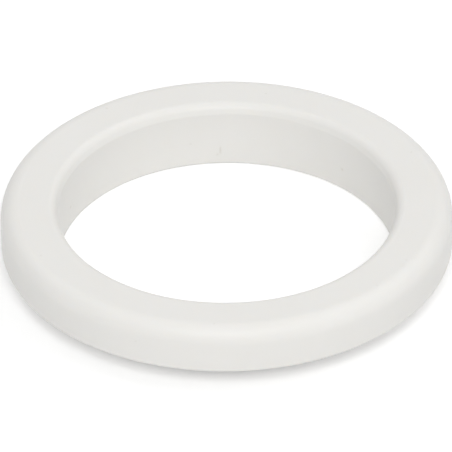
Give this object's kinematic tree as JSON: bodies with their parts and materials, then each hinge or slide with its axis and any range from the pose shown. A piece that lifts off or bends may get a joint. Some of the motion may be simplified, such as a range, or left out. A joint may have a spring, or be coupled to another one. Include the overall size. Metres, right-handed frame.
{
  "type": "espresso group head gasket",
  "caption": "Moulded silicone sealing ring for an espresso group head, with rounded upper edges, a plain bore and a bevelled underside.",
  "frame": {"origin": "centre of the flat lower face that the ring rests on", "axes": "+Z along the ring's axis, from the flat lower face to the rounded upper face"},
  "size_m": [0.064, 0.064, 0.0099],
  "materials": {
    "silicone": "satin off-white moulded silicone"
  },
  "bodies": {
    "root": {"gasket_ring": "silicone"}
  },
  "joints": []
}
